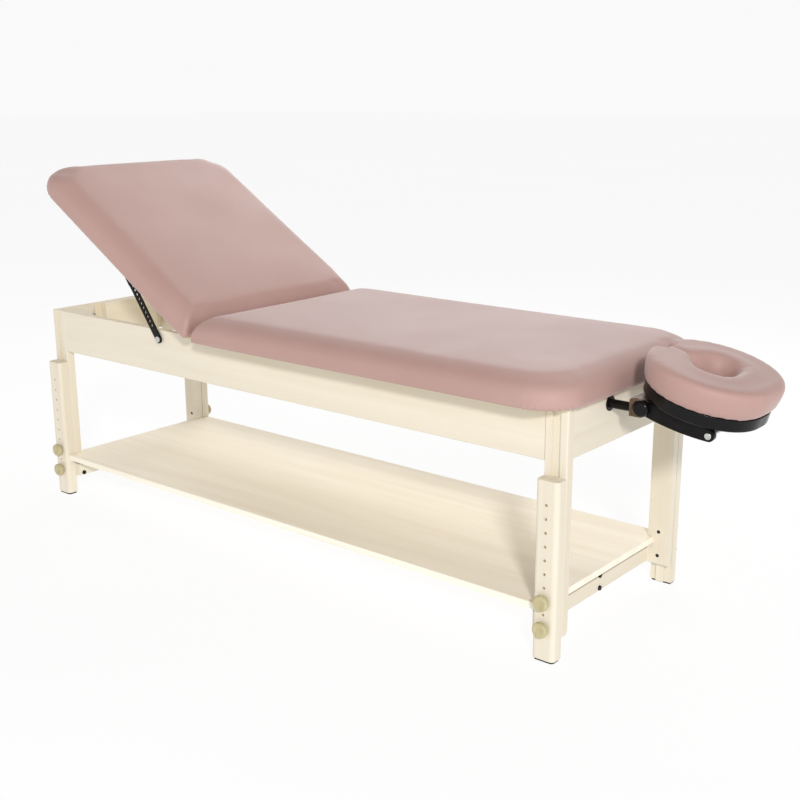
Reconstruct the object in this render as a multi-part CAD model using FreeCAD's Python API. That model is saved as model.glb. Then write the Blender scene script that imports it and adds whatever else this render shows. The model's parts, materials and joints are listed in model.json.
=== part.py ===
import FreeCAD
import Part
import math
import os

V = FreeCAD.Vector

# Sizes in millimetres. X runs along the table to the head end, -Y is the front, Z is up from the floor.

# Table frame
frame_length = 1790.0
frame_width = 512.0
frame_top = 565.0
post_width = 56.0
post_depth = 24.0
post_floor_gap = 54.0
post_edge = 3.0
post_toe = 9.0
apron_height = 121.0
apron_thickness = 20.0
apron_edge = 3.0
end_apron_height = 113.0

# Leg extensions, tongue and groove, knobs
extension_depth = 31.0
extension_top = 413.0
extension_edge = 11.0
extension_top_edge = 2.5
tongue_width = 20.0
tongue_depth = 6.5
slide_gap = 0.4
hole_pitch = 31.1
hole_count = 10
hole_first = 79.3
knob_step = 2
stud_radius = 3.0
stud_hole_gap = 0.3
thread_gap = 0.05
insert_radius = 4.6
knob_radius = 18.0
knob_height = 17.0
knob_gap = 0.4
foot_thickness = 5.0
foot_inset = 3.0
foot_spigot_radius = 4.0
foot_spigot_length = 12.0

# Corner blocks and their bolts
block_along_side = 128.0
block_along_end = 100.0
block_nose = 14.0
block_side_foot = 10.0
block_height = 118.0
block_drop = 3.0
corner_bolt_radius = 4.0
corner_bolt_drops = (20.0, 92.0)
corner_bolt_bite = 16.0
bolt_head_radius = 7.5
bolt_head_height = 5.5
washer_radius = 10.0
washer_thickness = 1.6
end_block_half = 97.0
end_block_thickness = 25.0
end_block_edge = 2.0

# Shelf
shelf_bottom = 110.0
shelf_thickness = 16.0
shelf_side_lap = 21.0
shelf_end_lap = 14.0
shelf_post_gap = 0.5
shelf_edge = 2.0
rail_height = 52.0
rail_thickness = 18.0
rail_bolt_radius = 3.0
rail_bolt_head = 6.0
rail_bolt_head_height = 3.5
rail_bolt_low = 44.0
rail_bolt_high = 12.0
rail_bolt_bite = 22.0
rail_centre_bite = 12.0

# Pads and boards
seat_overhang = 23.0
hinge_x = -214.0
back_overhang = 42.0
back_angle = 31.8
pad_overhang = 71.0
pad_height = 64.0
pad_crown = 5.0
pad_edge_radius = 38.0
pad_bulge = 4.5
pad_under_roll = 3.0
hinge_edge_radius = 55.0
hinge_edge_start = 12.0
hinge_pad_gap = 6.4
head_corner = 102.0
back_corner = 95.0
hinge_corner = 16.0
board_thickness = 15.0
board_inset = 15.0
board_hinge_gap = 13.0
pocket_gap = 0.3
batten_width = 36.0
batten_thickness = 22.0
batten_spacing = 280.0
batten_start = 60.0
batten_short = 113.0
batten_edge = 3.0

# Hinge
hinge_end_gap = 11.0
leaf_length = 120.0
leaf_width = 38.0
leaf_thickness = 2.0
barrel_radius = 4.5
hinge_pin_radius = 2.5
press_gap = 0.02
run_gap = 0.05
barrel_side_gap = 0.5
barrel_segments = 5
cross_rail_thickness = 40.0
cross_rail_height = 72.0
cross_rail_offset = 8.0
leaf_screw_radius = 2.0
leaf_screw_length = 11.0
hinge_pin_end = 2.0

# Stays
stay_set = 185.0
stay_z = 541.0
stay_thickness = 4.0
stay_width = 22.0
stay_head_width = 26.0
stay_off_apron = 4.2
stay_reach = 378.0
stay_drop = 26.0
stay_lead = -1.1
stay_slot_width = 16.4
stay_slot_spare = 1.2
stay_tip_wall = 4.8
notch_radius = 4.2
notch_neck = 4.0
notch_pitch = 13.9
notch_first = 43.0
notch_count = 10
stay_bolt_radius = 4.0
stay_bolt_head = 8.5
stay_bolt_head_height = 4.0
stay_nut_radius = 7.5
stay_nut_height = 6.5
stay_bolt_end = 2.5
stay_pin_radius = 2.5
stay_pin_head = 10.0
bracket_thickness = 2.5
bracket_gap = 1.0
bracket_width = 30.0
bracket_flange = 36.0
bracket_flange_length = 54.0

# Face cradle
rod_radius = 10.0
rod_spacing = 176.0
rod_z = 543.0
rod_seat = 14.0
rod_inside = 160.0
bush_radius = 13.0
bush_flange_radius = 17.0
bush_flange = 2.5
pivot_reach = 92.0
pivot_z = 554.0
pivot_radius = 6.0
crossbar_half = 108.0
crossbar_depth = 35.0
crossbar_low = 529.0
crossbar_round = 16.0
arm_gap = 1.0
arm_thickness = 6.0
arm_pivot_width = 30.0
arm_tilt_width = 25.0
arm_belly = 34.0
arm_reach = 149.0
tilt_z = 520.0
tilt_radius = 4.0
tilt_head = 7.5
tilt_head_height = 4.0
ear_thickness = 6.0
ear_gap = 1.0
ear_radius = 12.0
ear_back = 50.0
ear_front = 8.0
nut_radius = 10.0
nut_height = 8.0
lock_radius = 19.0
lock_height = 17.0
lock_gap = 0.6
face_reach = 92.5
face_z = 579.5
face_tilt = 14.5
face_long = 139.7
face_wide = 156.0
face_height = 64.0
face_section = 44.0
face_foot_inset = 9.0
face_roll = 15.0
face_bowl = 60.0
face_bowl_start = 26.0
face_lobe_gap = 12.0
platform_long = 128.0
platform_wide = 140.0
platform_hole = 62.0
platform_thickness = 28.0
platform_edge = 5.0
platform_lip = 2.0

half_length = frame_length / 2.0
half_width = frame_width / 2.0
post_x = half_length - post_width / 2.0
inner_x = half_length - post_width
inner_y = half_width - post_depth
apron_y = half_width - apron_thickness
shelf_half = half_width + shelf_side_lap
pad_half_width = half_width + pad_overhang
hinge_y = apron_y - hinge_end_gap - leaf_length / 2.0
seat_end = half_length + seat_overhang
back_length = half_length + back_overhang + hinge_x
batten_end = back_length - batten_short
stay_x = hinge_x - stay_set
pivot_x = half_length + pivot_reach
crossbar_back = pivot_x - crossbar_depth
rod_inner_end = half_length - rod_inside
tilt_x = pivot_x + arm_reach
face_x = pivot_x + face_reach
knob_low_z = hole_first
knob_high_z = hole_first + knob_step * hole_pitch


def box(x0, x1, y0, y1, z0, z1):
    return Part.makeBox(x1 - x0, y1 - y0, z1 - z0, V(x0, y0, z0))


def rod(radius, start, direction, length):
    return Part.makeCylinder(radius, length, start, direction)


def along_y(radius, x, z, y0, y1):
    return rod(radius, V(x, y0, z), V(0, 1, 0), y1 - y0)


def along_x(radius, y, z, x0, x1):
    return rod(radius, V(x0, y, z), V(1, 0, 0), x1 - x0)


def plate(points, y0, y1):
    ring = [V(x, y0, z) for x, z in points]
    face = Part.Face(Part.makePolygon(ring + ring[:1]))
    return face.extrude(V(0, y1 - y0, 0))


def slab(points, z0, z1):
    ring = [V(x, y, z0) for x, y in points]
    face = Part.Face(Part.makePolygon(ring + ring[:1]))
    return face.extrude(V(0, 0, z1 - z0))


def flip_y(shape):
    return shape.mirror(V(0, 0, 0), V(0, 1, 0))


def flip_x(shape):
    return shape.mirror(V(0, 0, 0), V(1, 0, 0))


def tidy(shape):
    return shape.removeSplitter()


def axis_arc(radius, z_rim, z_axis):
    lift = z_axis - z_rim
    centre = (z_axis ** 2 - z_rim ** 2 - radius ** 2) / (2.0 * lift)
    big = abs(z_axis - centre)
    turn = math.asin(radius / big) / 2.0
    sign = 1.0 if z_axis > centre else -1.0
    middle = V(big * math.sin(turn), centre + sign * big * math.cos(turn), 0)
    return Part.Arc(V(radius, z_rim, 0), middle, V(0, z_axis, 0)).toShape()


def edges_where(shape, test):
    found = []
    for edge in shape.Edges:
        a = edge.Vertexes[0].Point
        b = edge.Vertexes[-1].Point
        if test(a, b):
            found.append(edge)
    return found


def round_edges(shape, radius, test):
    return shape.makeFillet(radius, edges_where(shape, test))


def upright(a, b):
    return abs(a.x - b.x) < 1e-6 and abs(a.y - b.y) < 1e-6


def lengthwise(a, b):
    return abs(a.y - b.y) < 1e-6 and abs(a.z - b.z) < 1e-6


def crosswise(a, b):
    return abs(a.x - b.x) < 1e-6 and abs(a.z - b.z) < 1e-6


def near(value, target):
    return abs(value - target) < 1e-6


def corner(shape, sx, sy):
    out = shape
    if sx < 0:
        out = flip_x(out)
    if sy < 0:
        out = flip_y(out)
    return out


CORNERS = [("head_front", 1, -1), ("head_rear", 1, 1), ("back_front", -1, -1), ("back_rear", -1, 1)]
nodes = {}


# Leg posts: drawn at the rear head corner and turned to the other three.
def block_bolt_line(drop):
    nose = V(inner_x + post_width - apron_thickness - block_nose, inner_y - block_along_end, 0)
    foot = V(inner_x + post_width - apron_thickness - block_along_side, apron_y - block_side_foot, 0)
    start = (nose + foot) * 0.5
    across = (foot - nose).normalize()
    inward = V(-across.y, across.x, 0)
    if inward.x < 0:
        inward = inward * -1.0
    return V(start.x, start.y, frame_top - drop), inward


def bolt_reach(start, inward):
    return (inner_y - start.y) / inward.y


def make_post():
    body = box(inner_x, half_length, inner_y, half_width, post_floor_gap, frame_top)
    body = round_edges(body, post_edge, lambda a, b: upright(a, b) and near(a.y, half_width))
    body = round_edges(body, post_toe, lambda a, b: lengthwise(a, b) and near(a.z, post_floor_gap)
                       and near(a.y, inner_y))
    groove_half = tongue_width / 2.0 + slide_gap
    groove_floor = half_width - tongue_depth
    body = body.cut(box(post_x - groove_half, post_x + groove_half, groove_floor, half_width + 1,
                        post_floor_gap - 1, frame_top + 1))
    for z in (knob_low_z, knob_high_z):
        body = body.cut(along_y(insert_radius, post_x, z, inner_y - 1, half_width))
    for drop in corner_bolt_drops:
        start, inward = block_bolt_line(drop)
        body = body.cut(rod(corner_bolt_radius, start, inward, bolt_reach(start, inward) + corner_bolt_bite))
    for drop in (rail_bolt_high, rail_bolt_low):
        body = body.cut(along_x(rail_bolt_radius, rail_bolt_y(), shelf_bottom - drop, inner_x - 1,
                                inner_x + rail_bolt_bite))
    return body


def rail_bolt_y():
    return inner_y + post_depth * 0.42


# Leg extension with its tongue and its row of holes.
def make_extension():
    y0 = half_width + slide_gap
    y1 = y0 + extension_depth
    body = box(inner_x, half_length, y0, y1, foot_thickness, extension_top)
    body = round_edges(body, extension_edge, lambda a, b: upright(a, b) and near(a.y, y1))
    body = round_edges(body, extension_top_edge, lambda a, b: near(a.z, extension_top)
                       and near(b.z, extension_top) and max(a.y, b.y) > y0 + 1)
    tongue = box(post_x - tongue_width / 2.0, post_x + tongue_width / 2.0, y0 - tongue_depth, y0 + 1,
                 foot_thickness, extension_top)
    body = tidy(body.fuse(tongue))
    for k in range(hole_count):
        z = hole_first + k * hole_pitch
        body = body.cut(along_y(stud_radius + stud_hole_gap, post_x, z, y0 - tongue_depth - 1, y1 + 1))
    spigot_y = y0 + extension_depth / 2.0
    return body.cut(rod(foot_spigot_radius, V(post_x, spigot_y, foot_thickness - 1), V(0, 0, 1),
                        foot_spigot_length + 1))


def make_foot():
    y0 = half_width + slide_gap + foot_inset
    y1 = half_width + slide_gap + extension_depth - foot_inset
    pad = box(inner_x + foot_inset, half_length - foot_inset, y0, y1, 0, foot_thickness)
    pad = round_edges(pad, extension_edge - foot_inset, lambda a, b: upright(a, b) and near(a.y, y1))
    spigot_y = half_width + slide_gap + extension_depth / 2.0
    return pad.fuse(rod(foot_spigot_radius, V(post_x, spigot_y, foot_thickness - 0.5), V(0, 0, 1),
                        foot_spigot_length - 0.5))


# Knob turned about its stud: a domed grip with a dished face and a flange.
def make_knob(z):
    r = knob_radius
    h = knob_height
    start = half_width + slide_gap + extension_depth + knob_gap
    outline = [
        Part.makeLine(V(0, 0, 0), V(r * 0.62, 0, 0)),
        Part.makeLine(V(r * 0.62, 0, 0), V(r * 0.70, h * 0.22, 0)),
        Part.Arc(V(r * 0.70, h * 0.22, 0), V(r * 0.98, h * 0.40, 0), V(r, h * 0.62, 0)).toShape(),
        Part.Arc(V(r, h * 0.62, 0), V(r * 0.95, h * 0.90, 0), V(r * 0.72, h, 0)).toShape(),
        axis_arc(r * 0.72, h, h * 0.86),
        Part.makeLine(V(0, h * 0.86, 0), V(0, 0, 0)),
    ]
    grip = Part.Face(Part.Wire(outline)).revolve(V(0, 0, 0), V(0, 1, 0), 360)
    grip.translate(V(post_x, start, z))
    stud = along_y(stud_radius, post_x, z, inner_y + 1.0, start + 1.0)
    return tidy(grip.fuse(stud))


def make_insert(z):
    floor = half_width - tongue_depth
    sleeve = along_y(insert_radius, post_x, z, inner_y, floor)
    return sleeve.cut(along_y(stud_radius + thread_gap, post_x, z, inner_y - 1, floor + 1))


# Corner block with its sloping face, and the bolt that draws it to the post.
def make_block():
    end_x = half_length - apron_thickness
    points = [
        (end_x, inner_y),
        (end_x, inner_y - block_along_end),
        (end_x - block_nose, inner_y - block_along_end),
        (end_x - block_along_side, apron_y - block_side_foot),
        (end_x - block_along_side, apron_y),
        (inner_x, apron_y),
        (inner_x, inner_y),
    ]
    top = frame_top - block_drop
    body = slab(points, top - block_height, top)
    for drop in corner_bolt_drops:
        start, inward = block_bolt_line(drop)
        body = body.cut(rod(corner_bolt_radius, start - inward, inward,
                            bolt_reach(start, inward) + corner_bolt_bite))
    return body


def make_corner_bolt(drop):
    start, inward = block_bolt_line(drop)
    washer = rod(washer_radius, start - inward * washer_thickness, inward, washer_thickness)
    head = hexagon(bolt_head_radius, bolt_head_height)
    turn = FreeCAD.Rotation(V(0, 0, 1), inward * -1.0)
    head.Placement = FreeCAD.Placement(start - inward * (washer_thickness - 0.2), turn)
    shank = rod(corner_bolt_radius, start - inward * washer_thickness, inward,
                washer_thickness + bolt_reach(start, inward) + corner_bolt_bite)
    return washer.fuse([head, shank])


def hexagon(radius, height):
    points = []
    for k in range(6):
        a = math.radians(60 * k)
        points.append((radius * math.cos(a), radius * math.sin(a)))
    return slab(points, 0, height)


post = make_post()
extension = make_extension()
foot = make_foot()
block = make_block()
corner_bolts = [make_corner_bolt(drop) for drop in corner_bolt_drops]
for name, sx, sy in CORNERS:
    nodes["post_" + name] = corner(post, sx, sy)
    nodes["leg_" + name] = corner(extension, sx, sy)
    nodes["foot_" + name] = corner(foot, sx, sy)
    nodes["knob_" + name + "_low"] = corner(make_knob(knob_low_z), sx, sy)
    nodes["knob_" + name + "_high"] = corner(make_knob(knob_high_z), sx, sy)
nodes["corner_blocks"] = [corner(block, sx, sy) for name, sx, sy in CORNERS]
nodes["corner_bolts"] = [corner(bolt, sx, sy) for name, sx, sy in CORNERS for bolt in corner_bolts]
nodes["knob_inserts"] = [corner(make_insert(z), sx, sy) for name, sx, sy in CORNERS
                         for z in (knob_low_z, knob_high_z)]

# Aprons. The side aprons stand between the posts and carry the stay bolts.
side = box(-inner_x, inner_x, apron_y, half_width, frame_top - apron_height, frame_top)
side = round_edges(side, apron_edge, lambda a, b: lengthwise(a, b) and near(a.z, frame_top - apron_height))
side = side.cut(along_y(stay_bolt_radius, stay_x, stay_z, apron_y - 1, half_width + 1))
nodes["apron_rear"] = side
nodes["apron_front"] = flip_y(side)

end = box(half_length - apron_thickness, half_length, -inner_y, inner_y, frame_top - end_apron_height, frame_top)
end = round_edges(end, apron_edge, lambda a, b: crosswise(a, b) and near(a.z, frame_top - end_apron_height))
nodes["apron_back"] = flip_x(end)
block_x = apron_thickness - half_length
end_block = box(block_x, block_x + end_block_thickness, -end_block_half, end_block_half,
                frame_top - end_apron_height, frame_top)
nodes["end_block"] = round_edges(end_block, end_block_edge, lambda a, b: near(a.x, b.x)
                                 and near(a.x, block_x + end_block_thickness))
rod_y = rod_spacing / 2.0
for y in (-rod_y, rod_y):
    end = end.cut(along_x(bush_radius, y, rod_z, half_length - apron_thickness - 1, half_length + 1))
nodes["apron_head"] = end

# Cross rail under the hinge, rebated for the hinge leaves.
rail_x0 = hinge_x + cross_rail_offset
cross_rail = box(rail_x0, rail_x0 + cross_rail_thickness, -apron_y, apron_y, frame_top - cross_rail_height,
                 frame_top)
leaf_start = barrel_radius + barrel_side_gap
for y in (-hinge_y, hinge_y):
    cross_rail = cross_rail.cut(box(rail_x0 - 1, hinge_x + leaf_width, y - leaf_length / 2.0,
                                    y + leaf_length / 2.0, frame_top - leaf_thickness, frame_top + 1))
nodes["hinge_cross_rail"] = cross_rail

# Shelf on two rails that are bolted to the posts. Its ends lap over the rails between the posts.
shelf_top = shelf_bottom + shelf_thickness
shelf_x = inner_x - shelf_post_gap
shelf_end = inner_x + shelf_end_lap
shelf_notch = inner_y - shelf_post_gap
shelf = box(-shelf_x, shelf_x, -shelf_half, shelf_half, shelf_bottom, shelf_top)
shelf = shelf.fuse(box(-shelf_end, shelf_end, -shelf_notch, shelf_notch, shelf_bottom, shelf_top))
shelf = round_edges(tidy(shelf), shelf_edge, lambda a, b: near(a.z, shelf_top) and near(b.z, shelf_top))
nodes["shelf_panel"] = shelf


def make_rail():
    x0 = inner_x - rail_thickness
    body = box(x0, inner_x, -half_width, half_width, shelf_bottom - rail_height, shelf_bottom)
    body = round_edges(body, 2.0, lambda a, b: crosswise(a, b) and near(a.z, shelf_bottom - rail_height))
    for drop in (rail_bolt_high, rail_bolt_low):
        z = shelf_bottom - drop
        for y in (-rail_bolt_y(), rail_bolt_y()):
            body = body.cut(along_x(rail_bolt_radius, y, z, x0 - 1, inner_x + 1))
        body = body.cut(along_x(rail_bolt_radius, 0, z, inner_x - rail_centre_bite, inner_x + 1))
    return body


def make_rail_bolts():
    x0 = inner_x - rail_thickness
    out = []
    for drop in (rail_bolt_high, rail_bolt_low):
        z = shelf_bottom - drop
        for y in (-rail_bolt_y(), rail_bolt_y()):
            head = along_x(rail_bolt_head, y, z, x0 - rail_bolt_head_height, x0)
            shank = along_x(rail_bolt_radius, y, z, x0 - 1, inner_x + rail_bolt_bite)
            out.append(tidy(head.fuse(shank)))
        head = along_x(rail_bolt_head, 0, z, inner_x, inner_x + rail_bolt_head_height)
        shank = along_x(rail_bolt_radius, 0, z, inner_x - rail_centre_bite, inner_x + 1)
        out.append(tidy(head.fuse(shank)))
    return out


rail = make_rail()
nodes["shelf_rail_head"] = rail
nodes["shelf_rail_back"] = flip_x(rail)
rail_bolts = make_rail_bolts()
nodes["shelf_rail_bolts"] = rail_bolts + [flip_x(bolt) for bolt in rail_bolts]


# Pads. Every level is an outline of lines and arcs; the loft through the levels gives the drawn-in foot,
# the full sides, the rolled edge and the crowned top.
def outline(x0, x1, half, z, r0, r1):
    k = math.sqrt(0.5)
    a0 = r0 * (1 - k)
    a1 = r1 * (1 - k)
    edges = [
        Part.makeLine(V(x0 + r0, -half, z), V(x1 - r1, -half, z)),
        Part.Arc(V(x1 - r1, -half, z), V(x1 - a1, -half + a1, z), V(x1, -half + r1, z)).toShape(),
        Part.makeLine(V(x1, -half + r1, z), V(x1, half - r1, z)),
        Part.Arc(V(x1, half - r1, z), V(x1 - a1, half - a1, z), V(x1 - r1, half, z)).toShape(),
        Part.makeLine(V(x1 - r1, half, z), V(x0 + r0, half, z)),
        Part.Arc(V(x0 + r0, half, z), V(x0 + a0, half - a0, z), V(x0, half - r0, z)).toShape(),
        Part.makeLine(V(x0, half - r0, z), V(x0, -half + r0, z)),
        Part.Arc(V(x0, -half + r0, z), V(x0 + a0, -half + a0, z), V(x0 + r0, -half, z)).toShape(),
    ]
    return Part.Wire(edges)


def side_inset(h):
    roll_start = pad_height - pad_edge_radius
    if h <= roll_start:
        share = h / roll_start
        return pad_under_roll * (1 - share) ** 4 - pad_bulge * math.sin(share * math.pi / 2.0)
    rise = h - roll_start
    return pad_edge_radius - math.sqrt(pad_edge_radius ** 2 - rise ** 2) - pad_bulge


def hinge_inset(h):
    if h <= hinge_edge_start:
        return hinge_pad_gap
    rise = h - hinge_edge_start
    return hinge_pad_gap + hinge_edge_radius - math.sqrt(hinge_edge_radius ** 2 - rise ** 2)


def make_pad(length, far_corner):
    levels = []
    for share in (0.0, 0.05, 0.13, 0.26, 0.42, 0.54, 0.65, 0.75, 0.835, 0.90, 0.95, 0.98):
        h = share * pad_height
        levels.append((h, side_inset(h), hinge_inset(h)))
    crown_low, edge_inset, edge_hinge = levels[-1]
    crown_top = pad_height + pad_crown
    for share, rise in ((0.05, 0.18), (0.14, 0.38), (0.30, 0.64), (0.52, 0.86), (0.76, 0.97), (0.94, 1.0)):
        extra = share * (pad_half_width - edge_inset - 20.0)
        levels.append((crown_low + rise * (crown_top - crown_low), edge_inset + extra, edge_hinge + extra))
    wires = []
    for h, inset, at_hinge in levels:
        near_radius = max(hinge_corner - inset * 0.3, 8.0)
        far_radius = max(far_corner - inset * 0.45, 20.0)
        wires.append(outline(at_hinge, length - inset, pad_half_width - inset, h, near_radius, far_radius))
    return Part.makeLoft(wires, True, True)


def make_board(length, far_corner, grow):
    half = pad_half_width - board_inset + grow
    wire = outline(board_hinge_gap - grow, length - board_inset + grow, half, -grow, 6.0,
                   far_corner - board_inset + grow)
    return Part.Face(wire).extrude(V(0, 0, board_thickness + grow))


def seat_place(shape):
    out = shape.copy()
    out.translate(V(hinge_x, 0, frame_top))
    return out


def back_place(shape):
    out = shape.mirror(V(0, 0, 0), V(1, 0, 0))
    out.translate(V(hinge_x, 0, frame_top))
    out.rotate(V(hinge_x, 0, frame_top), V(0, 1, 0), back_angle)
    return out


seat_length = seat_end - hinge_x
seat_pad = make_pad(seat_length, head_corner).cut(make_board(seat_length, head_corner, pocket_gap))
back_pad = make_pad(back_length, back_corner).cut(make_board(back_length, back_corner, pocket_gap))
nodes["seat_pad"] = seat_place(seat_pad)
nodes["back_pad"] = back_place(back_pad)

# Hinge leaves, drawn flat from the hinge line outwards, with every other barrel segment.
segment = leaf_length / barrel_segments
screw_rows = ((leaf_width * 0.62, -0.36), (leaf_width * 0.62, 0.0), (leaf_width * 0.62, 0.36))


def make_leaf(first, bore):
    body = box(leaf_start, leaf_width, -leaf_length / 2.0, leaf_length / 2.0, -leaf_thickness, 0)
    for k in range(first, barrel_segments, 2):
        y0 = -leaf_length / 2.0 + k * segment + barrel_side_gap / 2.0
        y1 = y0 + segment - barrel_side_gap
        barrel = along_y(barrel_radius, 0, 0, y0, y1)
        tab = box(0, leaf_start + 1.0, y0, y1, -leaf_thickness, 0)
        body = body.fuse([barrel, tab])
    body = tidy(body)
    body = body.cut(along_y(hinge_pin_radius + bore, 0, 0, -leaf_length, leaf_length))
    for x, share in screw_rows:
        body = body.cut(rod(leaf_screw_radius, V(x, share * leaf_length, -leaf_thickness - 1), V(0, 0, 1),
                            leaf_thickness + 2))
    return body


def make_leaf_screws():
    out = []
    for x, share in screw_rows:
        y = share * leaf_length
        shank = rod(leaf_screw_radius, V(x, y, -leaf_thickness), V(0, 0, 1), leaf_thickness + leaf_screw_length)
        head = Part.makeCone(leaf_screw_radius * 1.9, leaf_screw_radius, 1.0, V(x, y, -leaf_thickness - 1.0),
                             V(0, 0, 1))
        out.append(tidy(shank.fuse(head)))
    return out


def at_hinges(shapes):
    out = []
    for y in (-hinge_y, hinge_y):
        for shape in shapes:
            copy = shape.copy()
            copy.translate(V(0, y, 0))
            out.append(copy)
    return out


seat_leaves = at_hinges([make_leaf(0, press_gap)])
back_leaves = at_hinges([make_leaf(1, run_gap)])
leaf_screws = at_hinges(make_leaf_screws())
hinge_pins = at_hinges([along_y(hinge_pin_radius, 0, 0, -leaf_length / 2.0 - hinge_pin_end,
                                leaf_length / 2.0 + hinge_pin_end)])
nodes["hinge_leaf_seat"] = [seat_place(s) for s in seat_leaves]
nodes["hinge_leaf_back"] = [back_place(s) for s in back_leaves]
nodes["hinge_pins"] = [seat_place(s) for s in hinge_pins]
nodes["hinge_screws_seat"] = [seat_place(s) for s in leaf_screws]
nodes["hinge_screws_back"] = [back_place(s) for s in leaf_screws]
for screw in leaf_screws:
    nodes["hinge_cross_rail"] = nodes["hinge_cross_rail"].cut(seat_place(screw))

# Boards under the pads, and the battens that stiffen the backrest.
seat_board = make_board(seat_length, head_corner, 0.0)
back_board = make_board(back_length, back_corner, 0.0)
for screw in leaf_screws:
    seat_board = seat_board.cut(screw)
    back_board = back_board.cut(screw)

batten_y = batten_spacing / 2.0
batten = box(batten_start, batten_end, batten_y - batten_width / 2.0, batten_y + batten_width / 2.0,
             -batten_thickness, 0)
batten = round_edges(batten, batten_edge, lambda a, b: near(a.z, -batten_thickness) and near(b.z, -batten_thickness))

# Stays: a bar that turns on the apron bolt, notched along its length, with a run slot for the backrest pin.
angle = math.radians(back_angle)
pin_x = hinge_x - stay_reach * math.cos(angle) - stay_drop * math.sin(angle)
pin_z = frame_top + stay_reach * math.sin(angle) - stay_drop * math.cos(angle)
stay_angle = math.degrees(math.atan2(pin_z - stay_z, pin_x - stay_x)) + stay_lead
pin_far = math.hypot(pin_x - stay_x, pin_z - stay_z)
pin_near = math.hypot(hinge_x - stay_reach - stay_x, frame_top - stay_drop - stay_z)
stay_slot_start = pin_near - stay_slot_width / 2.0 - stay_slot_spare
stay_slot_end = pin_far + stay_slot_width / 2.0 + stay_slot_spare
stay_tip = stay_slot_end + stay_tip_wall


def make_stay():
    y0 = half_width + stay_off_apron
    y1 = y0 + stay_thickness
    w = stay_width / 2.0
    u = stay_head_width / 2.0
    neck = stay_slot_start - 18.0
    points = [(0, -w), (neck, -w), (neck + 14, -u), (stay_tip - u, -u), (stay_tip - u, u), (neck + 14, u),
              (neck, w), (0, w)]
    body = plate(points, y0, y1)
    body = body.fuse([along_y(w, 0, 0, y0, y1), along_y(u, stay_tip - u, 0, y0, y1)])
    body = tidy(body)
    body = body.cut(along_y(stay_bolt_radius + run_gap, 0, 0, y0 - 1, y1 + 1))
    last = notch_first + (notch_count - 1) * notch_pitch
    chain = box(notch_first, last, y0 - 1, y1 + 1, -notch_neck / 2.0, notch_neck / 2.0)
    for k in range(notch_count):
        chain = chain.fuse(along_y(notch_radius, notch_first + k * notch_pitch, 0, y0 - 1, y1 + 1))
    s = stay_slot_width / 2.0
    run = box(stay_slot_start + s, stay_slot_end - s, y0 - 1, y1 + 1, -s, s)
    run = run.fuse([along_y(s, stay_slot_start + s, 0, y0 - 1, y1 + 1),
                    along_y(s, stay_slot_end - s, 0, y0 - 1, y1 + 1)])
    body = body.cut(chain).cut(run)
    body.rotate(V(0, 0, 0), V(0, 1, 0), -stay_angle)
    body.translate(V(stay_x, 0, stay_z))
    return body


def make_stay_bolt():
    y0 = half_width
    y1 = y0 + stay_off_apron
    top = y1 + stay_thickness
    spacer = along_y(stay_bolt_radius + 3.0, stay_x, stay_z, y0, y1 - 0.2)
    shank = along_y(stay_bolt_radius, stay_x, stay_z, apron_y - stay_nut_height - stay_bolt_end,
                    top + 1.0)
    head = along_y(stay_bolt_head, stay_x, stay_z, top + 0.3, top + stay_bolt_head_height)
    ring = edges_where(head, lambda a, b: near(a.y, top + stay_bolt_head_height)
                       and near(b.y, top + stay_bolt_head_height))
    head = head.makeFillet(1.5, ring)
    return tidy(spacer.fuse([shank, head]))


def make_stay_nut():
    nut = hexagon(stay_nut_radius, stay_nut_height)
    nut = nut.cut(rod(stay_bolt_radius, V(0, 0, -1), V(0, 0, 1), stay_nut_height + 2))
    nut.rotate(V(0, 0, 0), V(1, 0, 0), 90)
    nut.translate(V(stay_x, apron_y, stay_z))
    return nut


stay = make_stay()
nodes["stay_rear"] = stay
nodes["stay_front"] = flip_y(stay)
nodes["stay_bolts"] = [make_stay_bolt(), flip_y(make_stay_bolt())]
nodes["stay_nuts"] = [make_stay_nut(), flip_y(make_stay_nut())]


# Stay brackets under the backrest board, drawn flat.
def make_bracket():
    y0 = half_width + bracket_gap
    y1 = y0 + bracket_thickness
    w = bracket_width / 2.0
    x0 = stay_reach - bracket_flange_length / 2.0
    x1 = stay_reach + bracket_flange_length / 2.0
    flange = box(x0, x1, y0, y0 + bracket_flange, -bracket_thickness, 0)
    flange = round_edges(flange, 8.0, lambda a, b: upright(a, b) and near(a.y, y0 + bracket_flange))
    web = box(stay_reach - w, stay_reach + w, y0, y1, -stay_drop, -bracket_thickness / 2.0)
    tip = along_y(w, stay_reach, -stay_drop, y0, y1)
    body = tidy(flange.fuse([web, tip.common(box(x0, x1, y0, y1, -stay_drop - w + 4.0, 0))]))
    body = body.cut(along_y(stay_pin_radius, stay_reach, -stay_drop, y0 - 1, y1 + 1))
    for x in bracket_screw_x():
        body = body.cut(rod(leaf_screw_radius, V(x, bracket_screw_y(), -bracket_thickness - 1), V(0, 0, 1), 9))
    return body


def bracket_screw_x():
    return (stay_reach - bracket_flange_length * 0.36, stay_reach + bracket_flange_length * 0.36)


def bracket_screw_y():
    return half_width + bracket_gap + bracket_flange * 0.72


def make_pin():
    y0 = half_width + bracket_gap
    top = half_width + stay_off_apron + stay_thickness
    shank = along_y(stay_pin_radius, stay_reach, -stay_drop, y0, top + 1.0)
    head = along_y(stay_pin_head, stay_reach, -stay_drop, top + 0.5, top + 2.5)
    return tidy(shank.fuse(head))


def make_bracket_screws():
    out = []
    for x in bracket_screw_x():
        y = bracket_screw_y()
        low = -bracket_thickness
        shank = rod(leaf_screw_radius, V(x, y, low), V(0, 0, 1), bracket_thickness + leaf_screw_length)
        head = Part.makeCone(leaf_screw_radius * 1.9, leaf_screw_radius * 1.2, 1.4, V(x, y, low - 1.4), V(0, 0, 1))
        out.append(tidy(shank.fuse(head)))
    return out


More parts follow.
